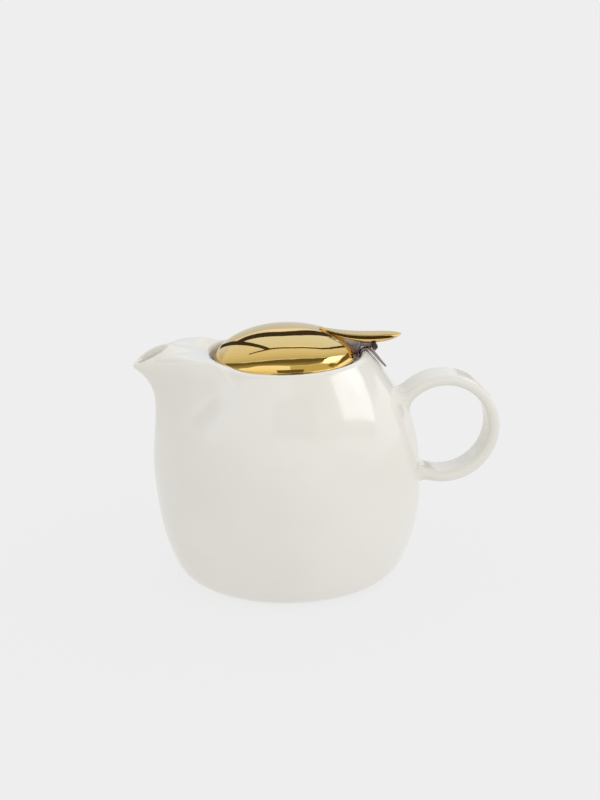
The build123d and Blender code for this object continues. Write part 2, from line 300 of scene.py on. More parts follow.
def gold_material():
    """Polished gold-tone plating with the faintest buffing marks."""
    look = Look("gold_mirror", metallic=1.0)
    look.drift(look.noise(35, 2), (0.80, 0.545, 0.175), (0.83, 0.57, 0.195))
    look.rough(look.noise(700, 3, (1, 0.12, 1)), 0.035, 0.06)
    return look.material


def steel_material(name, dark, light, rough_low, rough_high, grain, stretch, bump):
    """Drawn or pressed steel: fine grain along one direction."""
    look = Look(name, metallic=1.0)
    look.drift(look.noise(120, 3), dark, light)
    marks = look.noise(grain, 3, stretch)
    look.rough(marks, rough_low, rough_high)
    look.bump(marks, bump, 0.5)
    return look.material


def perforated_material():
    """Thin steel sheet pierced with a square pattern of fine holes, painted on: each hole is painted near
    black, as the shade seen through it.
    """
    look = Look("perforated_floor", metallic=1.0)
    waves = [look.compute("MULTIPLY", look.place(axis), 2 * math.pi / FLOOR_HOLE_PITCH) for axis in "XY"]
    wave = look.compute("MULTIPLY", *[look.compute("SINE", phase) for phase in waves])
    hole = look.spread(wave, 0.0, 1.0, 0.62, 0.78)
    # Painted shade: the holes are coloured near black for the dark seen through them.
    look.feed("Base Color", look.mix((0.86, 0.85, 0.83, 1), (0.03, 0.03, 0.03, 1), hole))
    look.rough(look.noise(1100, 3, (1, 1, 0.08)), 0.22, 0.34)
    look.bump(look.compute("SUBTRACT", 1.0, hole), 0.00015)
    return look.material


def lug_material():
    """Cast web with painted light and shade: pale where it leaves the lever, darker and duller down at the
    lid's edge, where shade falls.
    """
    look = Look("lug_steel", metallic=0.55)
    height = look.spread(look.place("Z"), 0.0, 1.0, 0.1095, 0.1165)
    # Painted shade: the colour runs from near black at the web's foot by the lid's edge to pale up under the
    # lever.
    stops = (0.15, (0.03, 0.022, 0.022)), (0.4, (0.22, 0.17, 0.17)), (0.9, (0.47, 0.41, 0.385))
    clouds = look.spread(look.noise(260, 2, (1, 1, 0.3)), 0.8, 1.0)
    look.feed("Base Color", look.mix(look.ramp(height, *stops), clouds, 1.0, "MULTIPLY"))
    look.rough(look.noise(900, 2), 0.30, 0.42)
    return look.material


# Period of the floor's hole pattern, in metres as the shader reads it
FLOOR_HOLE_PITCH = 0.0038
GLAZE = glaze_material()
GOLD = gold_material()
BRIGHT_STEEL = steel_material(
    "bright_steel", (0.70, 0.67, 0.62), (0.78, 0.75, 0.70), 0.12, 0.24, 900, (1, 0.1, 1), 0.000006
)
PIN_STEEL = steel_material(
    "pin_steel", (0.30, 0.27, 0.25), (0.40, 0.37, 0.34), 0.12, 0.2, 1500, (0.1, 1, 0.1), 0.000004
)
# Painted reflection: the near-black colour stands for the dark surroundings that the polished balls mirror.
BALL_STEEL = steel_material(
    "ball_steel", (0.075, 0.065, 0.06), (0.12, 0.105, 0.095), 0.1, 0.18, 1500, (1, 1, 1), 0.000004
)
CLIP_STEEL = steel_material(
    "clip_steel", (0.30, 0.235, 0.21), (0.42, 0.34, 0.31), 0.1, 0.2, 900, (0.15, 1, 0.15), 0.000006
)
INFUSER_STEEL = steel_material(
    "infuser_steel", (0.72, 0.71, 0.69), (0.80, 0.79, 0.77), 0.22, 0.34, 1100, (1, 1, 0.08), 0.00001
)
FLOOR_STEEL = perforated_material()
LUG_STEEL = lug_material()


# -------- pot body

FOOT_R = 44.0
BELLY_R = POT_HIGH[1]
LIP_R = 38.0
LIP_Z = 110.5
LEDGE_Z = RIM_LOW[2] + 5.0
LEDGE_R = 31.5
LEDGE_UNDER_Z = LEDGE_Z - 3.2
FLOOR_Z = 5.5
RECESS_Z = 1.2

OUTER_PROFILE = dense_curve(
    (
        (FOOT_R, 0),
        (50.8, 3.0),
        (59.3, 18.0),
        (BELLY_R, 48.0),
        (58.9, 80.0),
        (45.5, 102.3),
        (39.4, 109.9),
        (37.6, 112.2),
    ),
    400,
)
# How far the spout stands proud of the plain wall, and half the angle that it spans, by height
SPOUT_PROUD = ((0.0, 0.0), (42.0, 0.0), (55.0, 1.2), (66.0, 2.1), (78.0, 3.9), (87.9, 8.0), (94.4, 12.5),
               (99.5, 18.1), (103.6, 24.2), (107.8, 31.6), (111.0, 37.4))
SPOUT_SPREAD = ((0.0, 22.0), (60.0, 28.0), (75.0, 31.0), (90.0, 35.0), (100.0, 38.0), (111.0, 41.0))
# How the spout's proudness fades from its middle, 0, to the end of its spread, 1
FLANK_SHAPE = ((0.0, 1.0), (0.06, 0.97), (0.15, 0.87), (0.3, 0.68), (0.5, 0.44), (0.7, 0.23), (0.87, 0.06),
               (1.0, 0.0))
FLANK_EASE_H = 14.0
# The soft edge between the spout's flank and its broad top: degrees from the middle plane, radius, height
CREASE = ((0.0, 73.2, 107.4), (4.2, 70.6, 107.6), (8.0, 67.0, 108.7), (12.4, 61.8, 110.4),
          (17.2, 57.6, 111.5), (23.1, 52.4, 112.1), (29.5, 47.4, 111.9), (35.0, 43.8, 111.4),
          (41.0, 41.2, 110.7), (60.0, 39.4, 109.9))
CREASE_DEGREES, CREASE_R, CREASE_Z = zip(*CREASE)
CREASE_X = tuple(-r * math.cos(math.radians(d)) for d, r, _ in CREASE)
CREASE_Y = tuple(r * math.sin(math.radians(d)) for d, r, _ in CREASE)
MOUTH_TOP = (-54.5, 0.0, 117.1)
MOUTH_BOTTOM = (-73.1, 0.0, 107.0)
MOUTH_HALF_W = 8.4
MOUTH_LIFT = 0.3
# Rings from the rim's outer edge over its rounding to the throat: top point, bottom point, half width, lift
MOUTH_RINGS = (
    ((-54.9, 0, 117.35), (-72.8, 0, 108.2), 8.0, 0.5),
    ((-55.4, 0, 117.25), (-72.1, 0, 108.9), 7.4, 0.6),
    ((-56.0, 0, 116.8), (-71.2, 0, 109.3), 6.8, 0.6),
    ((-56.6, 0, 115.8), (-70.4, 0, 109.0), 6.3, 0.4),
    ((-57.4, 0, 114.0), (-69.5, 0, 107.4), 5.7, 0.3),
    ((-57.2, 0, 112.0), (-67.6, 0, 105.2), 5.4, 0.0),
    ((-55.6, 0, 109.4), (-64.2, 0, 102.0), 5.2, 0.0),
    ((-51.8, 0, 104.6), (-60.8, 0, 96.6), 5.5, 0.0),
    ((-48.0, 0, 98.4), (-57.0, 0, 90.0), 5.8, 0.0),
)
# Height of the deck's ridge by x
RIDGE = ((-74.0, 106.4), (-66.0, 110.9), (-58.5, 114.9), (-54.6, 116.6), (-51.0, 115.9), (-47.0, 115.2),
         (-43.0, 114.6), (-38.0, 114.2), (-28.0, 114.0))
# Height of the plateau's shoulder by the column's angle from the spout's middle plane
SHOULDER = ((0.0, 117.0), (20.0, 115.4), (28.0, 114.7), (37.0, 113.5), (45.0, 112.4), (57.0, 110.9),
            (180.0, 110.9))
# Height of the lip's crest by the same angle
CREST = ((0.0, 112.3), (30.0, 112.2), (45.0, 111.3), (60.0, 110.5), (180.0, 110.5))
CREST_SLOPE_L = 8.0
PLATEAU_EDGE_SHARE = 0.22
BEAK_END_X = -61.0
BEAK_BLEND_L = 9.0
# Degrees from the middle plane where the spout starts to fade into the plain pot, and over how many
FADE_START = 33.0
FADE_SPAN = 24.0
WALL_T = 4.4
# Below this height the wall thickens towards the floor
HEEL_Z = 20.0
HEEL_THICKENING = 0.25
FOOT_ROWS = ((14, RECESS_Z), (28, RECESS_Z), (37.2, RECESS_Z), (38.8, 1.05), (39.4, 0.35), (40.3, 0.02),
             (42.6, 0.0), (43.9, 0.05))
# Inside of the lip: radius, height, and how much the spout's side lifts it
LIP_ROWS = ((36.8, 110.25, 1.5), (36.0, 109.3, 1.3), (35.75, 107.6, 0.3))
LEDGE_ROWS = ((35.75, 105.4), (35.7, 104.5), (35.0, LEDGE_Z), (32.2, LEDGE_Z), (31.65, 103.95),
              (LEDGE_R, 103.2), (LEDGE_R, 101.9), (31.8, LEDGE_UNDER_Z), (34.5, 100.8), (38.6, 100.2),
              (42.6, 97.6))
INNER_HEIGHTS = (93.5, 90.0, 86.5, 83.0, 79.5, 74.5, 68.0, 60.0, 51.0, 42.0, 33.0, 25.0, 18.0, 12.5)
FLOOR_ROWS = ((45.5, 8.2), (39.0, 6.0), (32.0, FLOOR_Z), (16.0, FLOOR_Z))
BORE_EXIT_Z = 86.6
BORE_EXIT_HALF_H = 6.9
BORE_EXIT_HALF_W = 6.2
# The spout's openings are this many columns to each side of its middle, and twice as many rows high
OPENING_HALF = 2
RELAX_PASSES = 2
RELAX_SHARE = 0.4


def profile_r(z):
    """Radius of the plain pot at height z."""
    return np.interp(z, OUTER_PROFILE[:, 1], OUTER_PROFILE[:, 0])


def table(pairs, at):
    xs, ys = zip(*pairs)
    return through(xs, ys, at)


def crease_point(degrees):
    """Radius and height of the spout's soft edge in the column at that angle."""
    at = min(CREASE_DEGREES[-1], abs(degrees))
    return float(through(CREASE_DEGREES, CREASE_R, at)), float(through(CREASE_DEGREES, CREASE_Z, at))


def flank_r(z, degrees):
    """Radius of the pot with its spout at height z, degrees away from the spout's middle plane."""
    share = min(1.0, abs(degrees) / table(SPOUT_SPREAD, z))
    return profile_r(z) + table(SPOUT_PROUD, z) * table(FLANK_SHAPE, share)


def flank_to_crease_r(z, degrees):
    """The same, eased over the last stretch so that it ends on the soft edge."""
    edge_r, edge_z = crease_point(degrees)
    return flank_r(z, degrees) + (edge_r - flank_r(edge_z, degrees)) * smooth(1 - (edge_z - z) / FLANK_EASE_H)


def deck_z(r, degrees):
    """Height of the spout's broad top: a round-shouldered beak that widens into a plateau."""
    x, y, _ = around(r, 0, degrees)
    ridge = table(RIDGE, x)
    side = through(CREASE_X, CREASE_Z, x)
    reach = through(CREASE_X, CREASE_Y, x)
    share = min(1.0, abs(y) / reach) if reach > 0 else 1.0
    beak = ridge - (ridge - side) * share ** 4
    edge_r, edge_z = crease_point(degrees)
    inward = (edge_r - r) / (edge_r - LIP_R)
    crest = table(CREST, abs(degrees))
    top = min(ridge, table(SHOULDER, abs(degrees)))
    plateau = crest + (top - crest) * (1 - (1 - min(1.0, (r - LIP_R) / CREST_SLOPE_L)) ** 2)
    plateau = edge_z + (plateau - edge_z) * (1 - (1 - min(1.0, inward / PLATEAU_EDGE_SHARE)) ** 3)
    part = smooth((x - BEAK_END_X) / BEAK_BLEND_L)
    return (1 - part) * beak + part * plateau


def wrap(degrees):
    return (degrees + 180.0) % 360.0 - 180.0


# Columns of the pot's cage, in degrees from the spout's middle plane: close beside the spout, wider elsewhere
SPOUT_STEP = 10.0 / 3.0
SPOUT_COLUMNS = 12
REST_COLUMNS = 48
SPOUT_EDGE = SPOUT_STEP * SPOUT_COLUMNS
COLUMNS = [wrap(SPOUT_STEP * i) for i in range(-SPOUT_COLUMNS, SPOUT_COLUMNS + 1)]
COLUMNS += [wrap(SPOUT_EDGE + (360.0 - 2 * SPOUT_EDGE) * i / REST_COLUMNS) for i in range(1, REST_COLUMNS)]
# Heights of the outer wall's rows, as shares of the way up to the spout's soft edge or the plain shoulder
WALL_SHARES = (0.012, 0.03, 0.062, 0.105, 0.16, 0.225, 0.30, 0.375, 0.45, 0.52, 0.59, 0.655, 0.72, 0.775,
               0.825, 0.87, 0.91, 0.945, 0.975)
DECK_ROWS = 8
PLAIN_TOP = [(float(profile_r(z)), z) for z in (100.0, 103.0, 105.8, 108.2)]
PLAIN_TOP += [(39.7, 109.6), (39.2, 110.15), (38.6, 110.45), (LIP_R, LIP_Z)]
PLAIN_STEPS = 80
PLAIN_CURVE = dense_curve(PLAIN_TOP, PLAIN_STEPS + 1)


def around(r, z, degrees):
    angle = math.radians(degrees)
    return (-r * math.cos(angle), -r * math.sin(angle), z)


def blend_to_plain(degrees):
    """0 on the spout, 1 where the pot is plain."""
    return smooth((abs(degrees) - FADE_START) / FADE_SPAN)


def wall_row(share):
    row = []
    for d in COLUMNS:
        plain = blend_to_plain(d)
        top = (1 - plain) * crease_point(d)[1] + plain * PLAIN_TOP[0][1]
        z = top * share
        row.append(around(float(flank_to_crease_r(z, d)), z, d))
    return row


def deck_row(index):
    """Row from the spout's soft edge, index 0, over its top and the plain shoulder to the lip's crest."""
    share = index / (DECK_ROWS - 1)
    flat_r, flat_z = PLAIN_CURVE[int(round(share * PLAIN_STEPS))]
    row = []
    for d in COLUMNS:
        plain = blend_to_plain(d)
        crease_r, crease_z = crease_point(d)
        r = crease_r + (LIP_R - crease_r) * share
        z = float(deck_z(r, d)) if index else crease_z
        row.append(around((1 - plain) * r + plain * flat_r, (1 - plain) * z + plain * flat_z, d))
    return row


def plain_row(r, z):
    return [around(r, z, d) for d in COLUMNS]


def oval(top, bottom, half_w, lift=0.0, count=16):
    """Ring of points round the oval between a top and a bottom point; it starts at the bottom."""
    top = np.asarray(top, float)
    bottom = np.asarray(bottom, float)
    centre = (top + bottom) / 2
    ring = []
    for angle in circle(count):
        point = centre + (bottom - centre) * math.cos(angle)
        bulge = lift * math.sin(angle) ** 2
        ring.append(point + np.array((-0.5 * bulge, -half_w * math.sin(angle), 0.87 * bulge)))
    return ring


def hole_boundary(rows, first_row):
    """Vertex indices round the opening that starts at first_row, from that row's middle towards -Y."""
    middle, half = SPOUT_COLUMNS, OPENING_HALF
    last_row = first_row + 2 * half
    loop = [rows[first_row][middle + i] for i in range(half)]
    loop += [rows[r][middle + half] for r in range(first_row, last_row)]
    loop += [rows[last_row][middle + i] for i in range(half, -half, -1)]
    loop += [rows[r][middle - half] for r in range(last_row, first_row, -1)]
    loop += [rows[first_row][middle + i] for i in range(-half, 0)]
    return loop


def make_pot():
    """One surface: foot, wall, deck, lip, ledge, inside and floor, with the spout's bore let through it."""
    b = Builder()
    outline = [plain_row(r, z) for r, z in FOOT_ROWS]
    outline += [wall_row(share) for share in WALL_SHARES]
    deck_first = len(outline)
    outline += [deck_row(i) for i in range(DECK_ROWS)]
    for r, z, lift in LIP_ROWS:
        outline.append([around(r, z + lift * (1 - blend_to_plain(d)), d) for d in COLUMNS])
    outline += [plain_row(r, z) for r, z in LEDGE_ROWS]
    bore_first = len(outline)
    for z in INNER_HEIGHTS:
        outline.append(plain_row(float(profile_r(z)) - (WALL_T + max(0.0, HEEL_Z - z) * HEEL_THICKENING), z))
    outline += [plain_row(r, z) for r, z in FLOOR_ROWS]
    rows = [b.add(row) for row in outline]
    middle = SPOUT_COLUMNS
    for index, (low, high) in enumerate(zip(rows, rows[1:])):
        open_here = any(first <= index < first + 2 * OPENING_HALF for first in (deck_first, bore_first))
        for i in range(len(COLUMNS)):
            j = (i + 1) % len(COLUMNS)
            if not (open_here and middle - OPENING_HALF <= i < middle + OPENING_HALF):
                b.faces.append((low[i], low[j], high[j], high[i]))
    b.cap(rows[0], (0, 0, RECESS_Z), flip=True)
    b.cap(rows[-1], (0, 0, FLOOR_Z))
    mouth = hole_boundary(rows, deck_first)
    for index, point in zip(mouth, oval(MOUTH_TOP, MOUTH_BOTTOM, MOUTH_HALF_W, MOUTH_LIFT)):
        b.points[index] = tuple(point)
    relax(b, rows, deck_first, set(mouth))
    throat = [b.add(oval(*ring)) for ring in MOUTH_RINGS]
    bore_exit = hole_boundary(rows, bore_first)
    count = len(bore_exit)
    bore_exit = [bore_exit[(count // 2 - i) % count] for i in range(count)]
    for index, angle in zip(bore_exit, circle(count)):
        z = BORE_EXIT_Z - BORE_EXIT_HALF_H * math.cos(angle)
        y = -BORE_EXIT_HALF_W * math.sin(angle)
        r = float(profile_r(z)) - WALL_T
        b.points[index] = (-math.sqrt(r * r - y * y), y, z)
    b.bridge([mouth, *throat, bore_exit])
    return b.piece("pot_shell", "pot", GLAZE, ("pot_body", "pot_floor", "spout"), levels=2)


def relax(b, rows, first_row, fixed):
    """Evens out the cage beside the mouth without moving the mouth itself."""
    middle, half = SPOUT_COLUMNS, OPENING_HALF
    last_row = first_row + 2 * half
    near = []
    for r in range(first_row - 2, last_row + 2):
        for c in range(middle - half - 3, middle + half + 4):
            in_opening = first_row < r < last_row and abs(c - middle) < half
            if rows[r][c] not in fixed and not in_opening:
                near.append((r, c))
    for _ in range(RELAX_PASSES):
        moved = {}
        for r, c in near:
            mean = b.middle([rows[r - 1][c], rows[r + 1][c], rows[r][c - 1], rows[r][c + 1]])
            moved[rows[r][c]] = tuple((1 - RELAX_SHARE) * np.array(b.points[rows[r][c]]) + RELAX_SHARE * mean)
        for index, point in moved.items():
            b.points[index] = point


# -------- handle

STRAP_T = 5.6
STRAP_EDGE_R = 2.55
STRAP_HALF_W = HANDLE_HIGH[1]
RING_OUTER_R = (HANDLE_HIGH[2] - HANDLE_LOW[2]) / 2
RING_INNER_R = RING_OUTER_R - STRAP_T
RING_X = HANDLE_HIGH[0] - RING_OUTER_R
RING_Z = (HANDLE_HIGH[2] + HANDLE_LOW[2]) / 2
FILLET_R = 5.0
END_SINK = 0.7
HANDLE_STATIONS = 46
STATION_EASING = 1.35
FILLET_PASSES = 12
END_SEARCH_STEPS = 40


def strap_outline():
    """Rounded-rectangle section of the strap, as (radial, sideways) pairs from its middle."""
    flat_t = STRAP_T / 2 - STRAP_EDGE_R
    flat_w = STRAP_HALF_W - STRAP_EDGE_R
    corners = ((1, 1, 0), (-1, 1, 90), (-1, -1, 180), (1, -1, 270))
    outline = []
    for side_t, side_w, start in corners:
        for turn in (0, 30, 60, 90):
            angle = math.radians(start + turn)
            outline.append((side_t * flat_t + STRAP_EDGE_R * math.cos(angle),
                            side_w * flat_w + STRAP_EDGE_R * math.sin(angle)))
        if side_t == side_w:
            outline.append((0.0, side_w * STRAP_HALF_W))
        else:
            outline += [(side_t * STRAP_T / 2, side_w * flat_w * k) for k in (0.6, 0.2, -0.2, -0.6)]
    return outline


STRAP_OUTLINE = strap_outline()


def strap_point(turn, place, extra=0.0):
    """Point of the strap: turn round the ring from +X towards +Z, place is an index of its section."""
    radial, side = STRAP_OUTLINE[place]
    away = math.hypot(radial, side * STRAP_T / (2 * STRAP_HALF_W))
    grow = extra / max(away, 0.5)
    radial = (RING_INNER_R + RING_OUTER_R) / 2 + radial * (1 + grow)
    side = side + math.copysign(extra, side) * min(1.0, abs(side) / STRAP_HALF_W)
    return np.array((RING_X + radial * math.cos(turn), side, RING_Z + radial * math.sin(turn)))


def above_pot(point):
    """How far a point stands out of the plain pot's wall, roughly."""
    z = min(108.0, max(2.0, point[2]))
    r = float(profile_r(z))
    slope = (float(profile_r(z + 1)) - float(profile_r(z - 1))) / 2
    return (math.hypot(point[0], point[1]) - r) / math.sqrt(1 + slope * slope)


def strap_end(place, sign):
    """Turn at which one line of the strap runs into the pot, upwards or downwards from +X by sign."""
    low, high = math.radians(60), math.radians(200)
    for _ in range(END_SEARCH_STEPS):
        mid = (low + high) / 2
        if above_pot(strap_point(sign * mid, place, FILLET_R * 0.5)) > -END_SINK:
            low = mid
        else:
            high = mid
    return low


def make_handle():
    b = Builder()
    places = range(len(STRAP_OUTLINE))
    ends = [(strap_end(place, 1), strap_end(place, -1)) for place in places]
    rings = []
    for k in range(-HANDLE_STATIONS, HANDLE_STATIONS + 1):
        share = k / HANDLE_STATIONS
        eased = math.copysign(1 - (1 - abs(share)) ** STATION_EASING, share)
        ring = []
        for place in places:
            turn = (ends[place][0] if share >= 0 else ends[place][1]) * eased
            extra = 0.0
            for _ in range(FILLET_PASSES):
                gap = max(0.0, above_pot(strap_point(turn, place, extra)))
                inside = max(0.0, 1 - gap / FILLET_R)
                extra = 0.5 * extra + 0.25 * FILLET_R * (1 - math.sqrt(max(0.0, 1 - inside * inside)))
            ring.append(strap_point(turn, place, extra))
        rings.append(b.add(ring))
    b.bridge(rings, flip=True)
    for ring, flip in ((rings[0], False), (rings[-1], True)):
        b.cap(ring, b.middle(ring) - np.array((1.5, 0, 0)), flip=flip)
    return b.piece("ring_handle", "pot", GLAZE, ("handle",), levels=1)


# -------- lid

LID_TOP_Z = DOME_HIGH[2]
LID_EDGE_Z = 109.4
LID_CAP_R = 33.9
LID_RISE = LID_TOP_Z - LID_EDGE_Z
LID_FULLNESS = 2.3
LID_STEEPNESS = 0.7
CAP_END_SHARE = 0.975
LID_SHELL_T = 0.8
BEAD_R = 0.8
BEAD_PATH_R = DOME_HIGH[0] - BEAD_R
BEAD_Z = LID_EDGE_Z - 0.3


def cap_z(r, inset=0.0):
    share = min(1.0, r / (LID_CAP_R - inset))
    return LID_EDGE_Z + (LID_RISE - inset) * (1 - share ** LID_FULLNESS) ** LID_STEEPNESS


def cap_profile(inset, steps):
    """(r, z) pairs down the cap, from the apex to where it runs into the bead."""
    pairs = []
    for i in range(steps + 1):
        r = (LID_CAP_R - inset) * math.sin(math.pi / 2 * CAP_END_SHARE * i / steps)
        pairs.append((r, cap_z(r, inset)))
    return pairs


def make_dome():
    b = Builder()
    profile = cap_profile(0.0, 46)
    for degrees in (55, 35, 10, -20, -50, -80, -110, -140, -170):
        angle = math.radians(degrees)
        profile.append((BEAD_PATH_R + BEAD_R * math.cos(angle), BEAD_Z + BEAD_R * math.sin(angle)))
    profile += cap_profile(LID_SHELL_T, 16)[::-1]
    b.turn(profile[::-1], 160)
    b.piece("dome", "lid", GOLD, ("lid_dome",), levels=1)


# Thumb lever: place x, height of the rim, height of the belly, half width
LEVER = ((16.5, 121.9, 121.2, 0.4), (19.3, 121.2, 119.4, 2.2), (23.5, 120.1, 117.3, 3.7),
         (29.0, 119.0, 115.2, 4.5), (36.0, 118.2, 113.7, 4.8), (43.0, 117.8, 113.4, 4.7),
         (49.0, 117.6, 114.0, 4.15), (53.0, 117.3, 115.2, 2.95), (55.7, 117.0, 116.4, 0.6))
# Half of its section, from the top's middle to the belly's: share of the half width, share of the depth
LEVER_SECTION = ((0.0, 0.0), (0.4, 0.0), (0.75, -0.005), (0.86, -0.02), (0.89, -0.06), (0.93, -0.2),
                 (0.975, -0.36), (1.0, -0.48), (0.99, -0.58), (0.92, -0.72), (0.76, -0.86), (0.5, -0.95),
                 (0.22, -0.99), (0.0, -1.0))
LEVER_STATIONS = 36


def lever_row(x):
    xs, rims, bellies, halves = zip(*LEVER)
    rim = through(xs, rims, x)
    belly = through(xs, bellies, x)
    half = through(xs, halves, x)
    row = []
    for side, depth in LEVER_SECTION:
        row.append((x, -side * half, rim + depth * (rim - belly)))
    return row + [(px, -py, pz) for px, py, pz in row[-2:0:-1]]


def make_lever():
    b = Builder()
    first, last = LEVER[0][0], LEVER[-1][0]
    rows = []
    for i in range(LEVER_STATIONS + 1):
        x = first + (last - first) * (0.5 - 0.5 * math.cos(math.pi * i / LEVER_STATIONS))
        rows.append(b.add(lever_row(x)))
    b.bridge(rows, flip=True)
    b.cap(rows[0], (first - 0.15, 0, LEVER[0][1] - 0.3), flip=True)
    b.cap(rows[-1], (last + 0.25, 0, LEVER[-1][1] - 0.25))
    b.piece("lever_leaf", "lid", GOLD, ("thumb_lever",), levels=1)


# Web that carries the lever, wrapped round the lid's edge at its foot: height z, front x, back x, half width
LUG_WEB = ((118.7, 20.6, 24.0, 2.4), (117.8, 22.3, 28.5, 3.6), (117.0, 23.7, 32.5, 4.2),
           (116.2, 25.2, 35.0, 4.4), (115.2, 26.8, 36.0, 4.5), (114.2, 28.2, 36.2, 4.6),
           (113.2, 29.4, 36.0, 4.9), (112.0, 30.5, 35.3, 5.6), (110.9, 31.2, 34.9, 6.7),
           (109.8, 31.7, 34.6, 7.8), (108.9, 32.1, 34.3, 8.4), (108.5, 32.6, 33.9, 8.1))
# Arm from the web to the pin: middle x, middle z, half height; its end is the pin's barrel
LUG_ARM = ((33.6, 114.6, 1.9), (36.0, 114.5, 1.9), (38.4, 114.0, 1.9), (40.4, 113.2, 1.8))
LUG_ARM_HALF_W = 2.85
ARM_SIDES = ((-LUG_ARM_HALF_W, -0.35), (-LUG_ARM_HALF_W, -0.12), (-LUG_ARM_HALF_W + 0.3, 0.0),
             (LUG_ARM_HALF_W - 0.3, 0.0), (LUG_ARM_HALF_W, -0.12), (LUG_ARM_HALF_W, -0.35))
WEB_COLUMNS = 36
WEB_SQUARENESS = 0.5
# The web's foot bends round the lid's edge below FOOT_BEND_Z; FOOT_BEND_W is about the lid's diameter
FOOT_BEND_Z = 113.5
FOOT_BEND_W = 68.0
FOOT_BEND_DROP = 3.0
BARREL_R = 1.5
PIN_X = (PIN_LOW[0] + PIN_HIGH[0]) / 2
PIN_Z = (PIN_LOW[2] + PIN_HIGH[2]) / 2


def squared(wave):
    """Sine or cosine made fuller, which turns an ellipse into a rounded rectangle."""
    return math.copysign(abs(wave) ** WEB_SQUARENESS, wave)


def make_lug():
    b = Builder()
    rings = []
    for z, x0, x1, half_w in LUG_WEB:
        ring = []
        for angle in circle(WEB_COLUMNS):
            x = (x0 + x1) / 2 + (x1 - x0) / 2 * squared(math.cos(angle))
            y = half_w * squared(math.sin(angle))
            bend = y * y / FOOT_BEND_W * min(1.0, max(0.0, (FOOT_BEND_Z - z) / FOOT_BEND_DROP))
            ring.append((x - bend, y, z))
        rings.append(b.add(ring))
    b.bridge(rings, flip=True)
    b.cap(rings[0], (22.3, 0, LUG_WEB[0][0] + 0.05))
    b.cap(rings[-1], (33.1, 0, LUG_WEB[-1][0] - 0.05), flip=True)
    outline = [(x, z + h) for x, z, h in LUG_ARM]
    for degrees in (75, 45, 15, -15, -45, -75, -105, -135):
        angle = math.radians(degrees)
        outline.append((PIN_X + BARREL_R * math.cos(angle), PIN_Z + BARREL_R * math.sin(angle)))
    outline += [(x, z - h) for x, z, h in LUG_ARM[::-1]]
    cx = sum(x for x, _ in outline) / len(outline)
    cz = sum(z for _, z in outline) / len(outline)
    sides = []
    for y, grow in ARM_SIDES:
        ring = []
        for x, z in outline:
            away = math.hypot(x - cx, z - cz)
            ring.append((x + (x - cx) / away * grow, y, z + (z - cz) / away * grow))
        sides.append(b.add(ring))
    b.bridge(sides)
    b.cap(sides[0], (cx, -LUG_ARM_HALF_W, cz), flip=True)
    b.cap(sides[-1], (cx, LUG_ARM_HALF_W, cz))
    b.piece("lever_web", "lid", LUG_STEEL, ("hinge_lug",), levels=1)


# Clip bent over the lip: middle line (x, z) and half width, from inside the mouth to the tongue's tip
CLIP = ((35.35, 106.9, 4.6), (35.35, 108.8, 4.9), (35.75, 110.1, 4.9), (36.65, 110.95, 4.9),
        (38.0, 111.25, 4.9), (39.25, 110.9, 4.9), (40.35, 110.0, 4.8), (41.7, 108.5, 4.5),
        (43.2, 106.7, 3.9), (44.9, 104.6, 3.0), (46.6, 102.6, 1.9), (48.3, 100.8, 0.55))
# Pressed relief across the clip: share of the half width, height
CLIP_RELIEF = ((-1.0, 0.25), (-0.93, 0.42), (-0.84, 0.1), (-0.62, 0.0), (-0.48, 0.3), (-0.34, 0.0),
               (0.0, 0.0), (0.34, 0.0), (0.48, 0.3), (0.62, 0.0), (0.84, 0.1), (0.93, 0.42), (1.0, 0.25))
CLIP_T = 0.7
CLIP_STATIONS = 45
# The relief fades where the clip is narrower than this, and shows this much on the underside
FULL_RELIEF_HALF_W = 4.0
UNDER_RELIEF = 0.35


def make_clip():
    b = Builder()
    path = dense_curve([(x, z) for x, z, _ in CLIP], CLIP_STATIONS)
    at = np.linspace(0, 1, CLIP_STATIONS)
    widths = np.interp(at, np.linspace(0, 1, len(CLIP)), [w for _, _, w in CLIP])
    along = np.gradient(path, axis=0)
    along /= np.linalg.norm(along, axis=1)[:, None]
    rings = []
    for (x, z), (tx, tz), width in zip(path, along, widths):
        nx, nz = -tz, tx
        relief = min(1.0, width / FULL_RELIEF_HALF_W)
        ring = []
        for share, height in CLIP_RELIEF:
            up = CLIP_T / 2 + height * relief
            ring.append((x + nx * up, share * width, z + nz * up))
        for share, height in CLIP_RELIEF[::-1]:
            up = -CLIP_T / 2 + UNDER_RELIEF * height * relief
            ring.append((x + nx * up, share * width, z + nz * up))
        rings.append(b.add(ring))
    b.bridge(rings)
    b.cap(rings[0], b.middle(rings[0]), flip=True)
    b.cap(rings[-1], b.middle(rings[-1]))
    b.piece("lip_clip", "clip", CLIP_STEEL, ("rim_clip",), levels=1)


# Ears: round the pin, then a foot on the clip. The section is distance from the middle, and swelling
EAR_R = 1.5
EAR_FOOT = ((42.6, 109.4), (41.3, 109.0), (40.0, 110.3), (39.4, 110.9))
EAR_MIDDLE_X, EAR_MIDDLE_Z = 41.4, 111.4
EAR_SECTION = ((3.05, -0.25), (3.05, 0.0), (3.5, 0.06), (3.95, 0.0), (3.95, -0.25))
EAR_SWELL = 0.4


